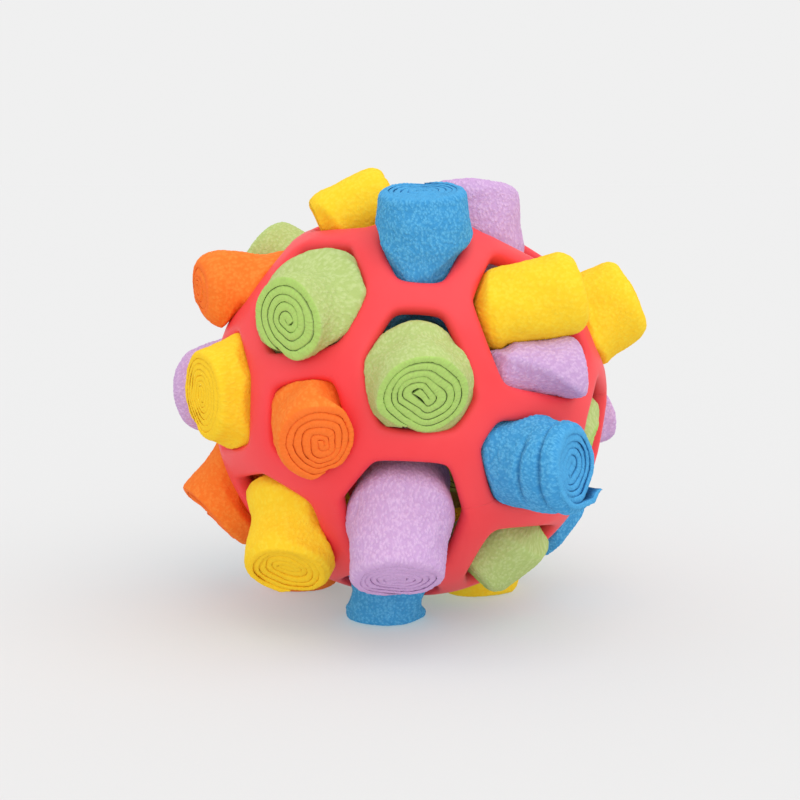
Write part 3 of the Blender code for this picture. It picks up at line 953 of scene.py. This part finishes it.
def lay_rows(shown, length):
    """Rows for a strip of this length, of which the given part under its top edge shows."""
    fine = np.arange(EDGE_ROUND, min(shown, length - 2 * EDGE_ROUND), ROW_STEP)
    deepest = fine[-1]
    beta = np.linspace(0, math.pi, EDGE_ROWS + 2)[1:-1]
    edge_side = np.sign(np.cos(beta)) * abs(np.cos(beta)) ** EDGE_FULLNESS
    edge_depth = EDGE_ROUND * (1 - np.sin(beta) ** EDGE_FULLNESS)
    down = np.linspace(0, 1, DEEP_ROWS + 1)[1:]
    inner = np.array([EDGE_ROUND, *(d for d in INNER_DEPTHS if d < deepest)])
    rows = []
    for share in down[::-1]:
        rows.append((1, deepest, share, EDGE_ROUND, 0, deepest + share * (length - deepest)))
    for depth in fine[::-1]:
        rows.append((1, depth, 0, 0, 0, depth))
    for side, depth in zip(edge_side, edge_depth):
        rows.append((side, depth, 0, 0, 1, EDGE_ROUND * side))
    for depth in inner:
        rows.append((-1, depth, 0, 0, 0, -EDGE_ROUND - depth))
    rows.append((-1, deepest, 1, EDGE_ROUND, 0, -EDGE_ROUND - length))
    for side, depth in zip(edge_side[::-1], edge_depth[::-1]):
        rows.append((side, deepest, 1, depth, 1, -2 * EDGE_ROUND - length))
    return Rows(*(np.array(column, float) for column in zip(*rows)))


# %% [markdown]
# The grid becomes cloth in small steps. The end is domed or dished, drawn in, and as uneven as scissors
# leave it. The loose end may peel off, and creases run round a roll that was squeezed. Every face that lies
# under another turn, and the bottom of each crease, gets a painted shade in its colour. Lumps come last,
# and smallest where turns touch, so that thin turns don't cross. A foot is pressed flat on the floor.

# %% Make a rolled strip
# How fast the painted shade deepens under the strip's edge.
PAINTED_SHADE_DEPTH = 0.9 * MM
COVERED_TURN_SHARE = 0.03
COVERED_FROM = 0.5
COVERED_LUMPS = 0.2
PEEL_TURN_SHARE = 0.11
PEEL_LIFT = 0.6
DOME_MIDDLE = 0.5
DOME_POWER = 2.5
STEEPEST = 0.98
JUST_INSIDE = 1.001
ROUND_LENGTH = 1.3
TAPER_POWER = 1.3
CREASE_WIDTH = 0.6 * MM
# How dark the painted shade at the bottom of a crease is.
CREASE_SHADE = 0.6
CREASE_FULL = 0.6
PEEL_DEPTH = 7 * MM
SOFT_LUMP = 5 * MM
SOFT_LUMP_HEIGHT = 0.22 * MM
NAP_LUMP_SHARE = 0.8
WAVES = 3
WAVE_LENGTHS_MM = (18, 60)
FLOOR_PRESS = 0.5 * MM


def ragged_edge(roll, winding):
    """How far the strip's edge lies out of line along the strip, as when cut with scissors."""
    draw = random.Random(roll.name)
    edge = np.zeros(len(winding.length))
    for _ in range(WAVES):
        wavelength = draw.uniform(*WAVE_LENGTHS_MM) * MM
        edge += np.sin(winding.length / wavelength * math.tau + draw.uniform(0, math.tau)) / WAVES
    return edge * roll.ragged * MM


def loose_share(winding):
    """1 at the strip's loose end, fading to 0 a little way back along it, column by column."""
    return np.clip(1 - (winding.last_turn - winding.turns) / PEEL_TURN_SHARE, 0, 1)


def end_heights(roll, winding, share):
    """How far past the line's end the strip's outer edge reaches, column by column."""
    height = roll.dome * MM * (DOME_MIDDLE - share**DOME_POWER)
    height += ragged_edge(roll, winding)
    return height + roll.peel * MM * PEEL_LIFT * loose_share(winding)


def corner(depth, length):
    """A quarter round: 0 where it starts, and 1 at the end that it rounds."""
    share = np.clip(1 - depth / length, 0, 1)
    return 1 - np.sqrt(1 - np.minimum(share**2, STEEPEST))


def drawn_in(roll, line, along):
    """The share of its radius that a roll loses by its taper and by its rounded ends."""
    depth = line.along[-1] - along
    drawn = roll.taper * np.clip(1 - depth / (roll.taper_length * MM), 0, 1) ** TAPER_POWER
    length = roll.rounded * roll.radius * ROUND_LENGTH * MM
    drawn += roll.rounded * corner(depth, length)
    if roll.lies_across:
        drawn += roll.rounded * corner(along, length)
    return drawn


def creased(roll, line, along, angle):
    """How far the creases of a roll push its surface in and out, and the painted shade in a groove."""
    push = np.zeros(along.shape)
    hidden = np.zeros(along.shape)
    for crease in roll.creases:
        turn = (angle - math.radians(crease.middle_deg) + math.pi) % math.tau - math.pi
        outer_part = (abs(turn) / math.radians(crease.width_deg) - CREASE_FULL) / (1 - CREASE_FULL)
        shown = 1 - smooth_step(outer_part)
        past = along - line.along[-1] + (crease.distance + crease.slant * turn / math.tau) * MM
        groove = np.exp(-((past / CREASE_WIDTH) ** 2))
        raised = smooth_step(past / CREASE_WIDTH) * crease.step
        push += (raised - crease.depth * groove) * shown * MM
        # The bottom of a groove gets a painted shade.
        hidden = np.maximum(hidden, groove**2 * shown * CREASE_SHADE)
    return push, hidden


def read_grid(table, row, column):
    """A table's values between its rows and columns. Its columns run round and meet again."""
    low_row, low_column = row.astype(int), column.astype(int)
    row_part, column_part = row - low_row, column - low_column
    low_column %= ANGLES
    next_column = (low_column + 1) % ANGLES
    low, high = (
        table[row, low_column] * (1 - column_part) + table[row, next_column] * column_part
        for row in (low_row, low_row + 1)
    )
    return low * (1 - row_part) + high * row_part


def strip_points(roll, line, outline, winding, rows):
    """The place of each point of a strip, column by column, and the painted shade of its crease groove."""
    share = np.minimum(np.linalg.norm(winding.middles, axis=1) / winding.radius, 1)
    top = line.along[-1] + end_heights(roll, winding, share)
    reach, angle = across_roll(winding, rows)
    reach *= evened(angle, winding)
    along = (top[:, None] - rows.depth) * (1 - rows.low) + rows.foot * rows.low
    along = np.maximum(along, rows.foot * rows.low)
    loose = loose_share(winding)[:, None] ** 2 * np.exp(-((rows.depth / PEEL_DEPTH) ** 2)) * (1 - rows.low)
    reach += roll.peel * MM / winding.radius * loose

    station = np.interp(along, line.along, np.arange(len(line.along)))
    station = np.clip(station, 0, len(line.along) - JUST_INSIDE)
    width = read_grid(outline, station, (angle % math.tau) / math.tau * ANGLES)
    width *= 1 - drawn_in(roll, line, along)
    push, hidden = creased(roll, line, along, angle)
    width += push
    places, rights, ups = line.at(along)
    spread = (width * reach)[..., None]
    return places + spread * (rights * np.cos(angle)[..., None] + ups * np.sin(angle)[..., None]), hidden


def under_turns(winding, rows):
    """1 where a face of the cloth lies against another turn, and 0 on the outside of the roll."""
    under = np.clip((winding.last_turn - 1 - winding.turns) / COVERED_TURN_SHARE, 0, 1)[:, None]
    return np.where(rows.side == 1, under, 1) * (1 - rows.cut)


def painted_shade_share(roll, winding, rows):
    """The painted shade of a covered face, deeper far under the strip's edge: 0 where it shows."""
    depth = np.where(rows.low > 0, 1, 1 - np.exp(-rows.depth / PAINTED_SHADE_DEPTH))
    return under_turns(winding, rows) * depth * roll.groove


def add_lumps(piece, cloth, covered):
    """Pushes the surface in and out in soft lumps and in clumps of nap, least where it is covered."""
    shown = piece.vertex_groups.new(name="shown")
    for points, share in ((covered <= COVERED_FROM, 1), (covered > COVERED_FROM, COVERED_LUMPS)):
        shown.add(np.flatnonzero(points).tolist(), share, "REPLACE")
    for size, height in ((SOFT_LUMP, SOFT_LUMP_HEIGHT), (cloth.clump * NAP_LUMP_SHARE, cloth.lumps)):
        texture = bpy.data.textures.new("nap_lumps", "CLOUDS")
        texture.noise_scale = size
        texture.noise_depth = 0
        lumps = piece.modifiers.new("Nap", "DISPLACE")
        lumps.texture = texture
        lumps.texture_coords = "LOCAL"
        lumps.strength = height * 2
        lumps.vertex_group = shown.name
    apply_modifiers(piece)


def press_on_floor(piece):
    """Presses cloth that would reach through the floor flat on it."""
    places = points_of(piece)
    low = places[:, 2] < FLOOR_PRESS
    places[low, 2] = FLOOR_PRESS * np.exp(places[low, 2] / FLOOR_PRESS - 1)
    piece.data.vertices.foreach_set("co", places.ravel())
    piece.data.update()


def make_strip(roll, obstacles):
    """A rolled strip of fleece as one closed mesh, with the cloth's UV map and attributes."""
    line = lines[roll.name]
    outline = roll_outline(roll, line, obstacles)
    winding = wind(roll)
    from_middle = np.linalg.norm(line.places - np.array(ball_middle), axis=1)
    hidden = 0 if roll.lies_across else line.along[(from_middle > ball_radius - WALL_DEPTH).argmax()]
    rows = lay_rows(line.along[-1] - hidden + SHOWN_MARGIN, line.along[-1])
    places, creases = strip_points(roll, line, outline, winding, rows)
    # Painted shade under other turns and at the bottom of creases.
    buried = np.maximum(painted_shade_share(roll, winding, rows), creases)
    columns, count = places.shape[:2]
    numbers = np.arange(columns * count).reshape(columns, count)
    after = np.roll(numbers, -1, axis=1)
    quads = np.stack((numbers[:-1], numbers[1:], after[1:], after[:-1]), axis=-1).reshape(-1, 4)
    faces = quads.tolist() + [numbers[0].tolist(), numbers[-1][::-1].tolist()]
    mesh = bpy.data.meshes.new("fleece_" + roll.name)
    mesh.from_pydata(places.reshape(-1, 3).tolist(), [], faces)
    piece = bpy.data.objects.new("fleece_" + roll.name, mesh)
    bpy.context.scene.collection.objects.link(piece)

    layer = mesh.uv_layers.new(name="cloth")
    corners = np.empty(len(mesh.loops), int)
    mesh.loops.foreach_get("vertex_index", corners)
    u = np.repeat(winding.length, count)[corners]
    v = np.tile(rows.v, columns)[corners]
    layer.data.foreach_set("uv", np.stack((u, v), axis=1).ravel())
    # The attributes say where the edge is cut and how much painted shade each point gets.
    for name, values in (("cut_edge", np.tile(rows.cut, columns)), ("buried", buried.ravel())):
        attribute = mesh.attributes.new(name, "FLOAT", "POINT")
        attribute.data.foreach_set("value", values.astype(np.float32))

    shape = bmesh.new()
    shape.from_mesh(mesh)
    bmesh.ops.recalc_face_normals(shape, faces=shape.faces)
    shape.to_mesh(mesh)
    shape.free()
    mesh.shade_smooth()
    add_lumps(piece, CLOTHS[roll.cloth], under_turns(winding, rows).ravel())
    press_on_floor(piece)
    mesh.materials.append(fleece[roll.cloth])
    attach(piece, roll.name)
    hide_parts("roll_" + roll.name)
    return piece


# %% [markdown]
# Now the rolls are made one after another. Each keeps clear of the rubber and of all the others. A roll
# that isn't made yet keeps its place with the shape that it has in the plain model.

# %% Roll them all
rubber = obstacle_of(lattice, RUBBER_GAP)
standing_in = {roll.name: obstacle_of(frame["nodes"]["roll_" + roll.name], ROLL_GAP) for roll in ROLLS}
for roll in ROLLS:
    others = [obstacle for name, obstacle in standing_in.items() if name != roll.name]
    piece = make_strip(roll, [rubber, *others])
    standing_in[roll.name] = obstacle_of(piece, ROLL_GAP)
total = sum(len(obj.data.polygons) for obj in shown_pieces())
print("faces in all:", total)
